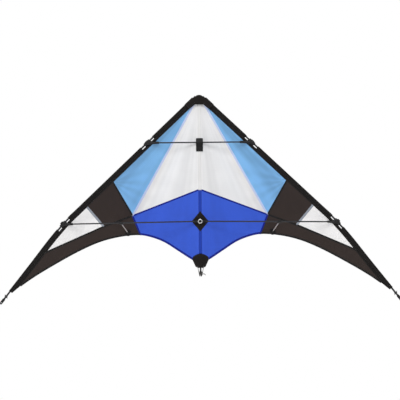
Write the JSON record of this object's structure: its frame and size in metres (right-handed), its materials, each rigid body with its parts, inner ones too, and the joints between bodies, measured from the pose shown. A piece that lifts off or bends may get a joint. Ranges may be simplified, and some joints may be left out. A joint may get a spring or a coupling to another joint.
{
  "type": "framed delta stunt kite",
  "caption": "Framed delta kite with a sewn panelled sail, rod leading edges and spine, two cross spreaders and stand-offs that hold the sail back.",
  "frame": {"origin": "middle of the centre tee's flat front face, where the lower spreaders meet the spine", "axes": "+X towards the kite's right wing tip, +Z along the spine towards the nose, the spreader side faces -Y and the sail bellies towards +Y"},
  "size_m": [1.2118, 0.1201, 0.6263],
  "materials": {
    "white_sail": "white ripstop polyester with a fine grid and a soft sheen",
    "pale_blue_sail": "pale blue ripstop polyester",
    "royal_sail": "royal blue ripstop polyester",
    "dark_sail": "brownish black ripstop polyester",
    "window_sail": "light grey translucent ripstop polyester",
    "sleeve_webbing": "black ribbed woven sleeve cloth",
    "patch": "black woven reinforcement webbing",
    "strap": "black hook-and-loop strap",
    "rod": "charcoal pultruded fibre rod, satin",
    "standoff_rod": "warm grey fibre rod, satin",
    "vinyl": "black moulded soft vinyl",
    "eyelet": "nickel-plated pressed ring",
    "dark_cord": "black braided cord",
    "pale_cord": "pale braided cord"
  },
  "bodies": {
    "spine_frame": {"spine": "rod", "upper_spine_pocket": "white_sail", "middle_spine_pocket": "royal_sail", "lower_spine_pocket": "royal_sail", "centre_tee": "vinyl", "tee_eyelet": "eyelet", "lower_spreader_left": "rod", "lower_spreader_right": "rod", "upper_spreader": "rod", "strap_base": "strap", "centre_patch_middle": "patch", "tail_patch_middle": "patch", "nose_webbing_middle": "patch", "tail_nock": "vinyl", "tail_cord": "pale_cord"},
    "left_wing": {"white_panel_left": "white_sail", "pale_blue_panel_left": "pale_blue_sail", "royal_panel_left": "royal_sail", "dark_upper_panel_left": "dark_sail", "dark_lower_panel_left": "dark_sail", "window_panel_left": "window_sail", "upper_leading_edge_left": "rod", "rod_ferrule_left": "rod", "lower_leading_edge_left": "rod", "leading_edge_sleeve_left": "sleeve_webbing", "upper_connector_left": "vinyl", "lower_connector_left": "vinyl", "tip_cap_left": "vinyl", "tip_cord_left": "dark_cord", "centre_patch_left": "patch", "tail_patch_left": "patch", "nose_webbing_left": "patch"},
    "right_wing": {"white_panel_right": "white_sail", "pale_blue_panel_right": "pale_blue_sail", "royal_panel_right": "royal_sail", "dark_upper_panel_right": "dark_sail", "dark_lower_panel_right": "dark_sail", "window_panel_right": "window_sail", "upper_leading_edge_right": "rod", "rod_ferrule_right": "rod", "lower_leading_edge_right": "rod", "leading_edge_sleeve_right": "sleeve_webbing", "upper_connector_right": "vinyl", "lower_connector_right": "vinyl", "tip_cap_right": "vinyl", "tip_cord_right": "dark_cord", "centre_patch_right": "patch", "tail_patch_right": "patch", "nose_webbing_right": "patch"},
    "left_standoff": {"standoff_clip_left": "vinyl", "standoff_left": "standoff_rod", "standoff_cap_left": "vinyl"},
    "right_standoff": {"standoff_clip_right": "vinyl", "standoff_right": "standoff_rod", "standoff_cap_right": "vinyl"},
    "spreader_strap": {"strap_flap": "strap"}
  },
  "joints": [
    {"name": "left_wing_fold", "type": "hinge", "parent": "spine_frame", "child": "left_wing", "pos_m": [-0.005, 0.0103, 0.1], "axis": [0, 0, -1], "range_deg": [0, 52], "deforming": ["upper_connector_left", "lower_connector_left"]},
    {"name": "right_wing_fold", "type": "hinge", "parent": "spine_frame", "child": "right_wing", "pos_m": [0.005, 0.0103, 0.1], "axis": [0, 0, 1], "range_deg": [0, 52], "deforming": ["upper_connector_right", "lower_connector_right"]},
    {"name": "left_standoff_swing", "type": "hinge", "parent": "spine_frame", "child": "left_standoff", "pos_m": [-0.238, 0.005, -0.00287], "axis": [-0.9999, 0, -0.0123], "range_deg": [0, 120]},
    {"name": "right_standoff_swing", "type": "hinge", "parent": "spine_frame", "child": "right_standoff", "pos_m": [0.238, 0.005, -0.00287], "axis": [-0.9999, 0, 0.0123], "range_deg": [0, 120]},
    {"name": "strap_peel", "type": "hinge", "parent": "spine_frame", "child": "spreader_strap", "pos_m": [0, 0.0093, 0.25], "axis": [-1, 0, 0], "range_deg": [0, 110]}
  ]
}
